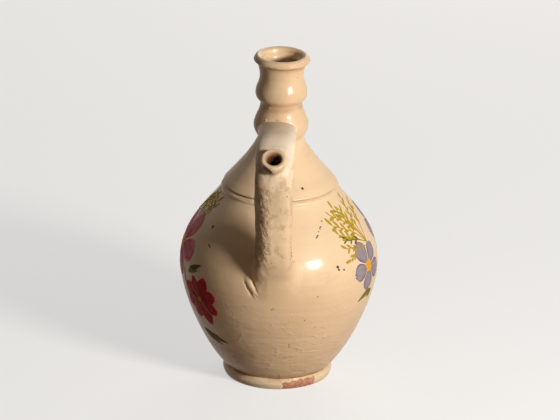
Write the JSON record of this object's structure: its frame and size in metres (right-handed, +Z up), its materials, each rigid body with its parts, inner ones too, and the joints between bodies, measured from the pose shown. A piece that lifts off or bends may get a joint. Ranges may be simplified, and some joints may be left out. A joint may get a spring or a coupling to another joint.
{
  "type": "glazed drinking jug",
  "caption": "Tall-necked glazed earthenware water jug with a round belly, a bulbed neck, a hollow bridging handle and a short drinking nozzle on its elbow.",
  "frame": {"origin": "middle of the foot's underside, on the jug's turning axis", "axes": "+Z up along the turning axis, handle and drinking nozzle towards -Y"},
  "size_m": [0.182, 0.2139, 0.3087],
  "materials": {
    "cream_glaze": "gloss",
    "bare_clay": "matte"
  },
  "bodies": {
    "root": {"base_disc": "bare_clay", "foot_ring": "cream_glaze", "belly_wall": "cream_glaze", "shoulder": "cream_glaze", "neck": "cream_glaze", "mouth_rim": "cream_glaze", "handle_arm": "cream_glaze", "arm_luting": "cream_glaze", "handle_stem": "cream_glaze", "stem_luting": "cream_glaze", "spout_nozzle": "cream_glaze"}
  },
  "joints": []
}
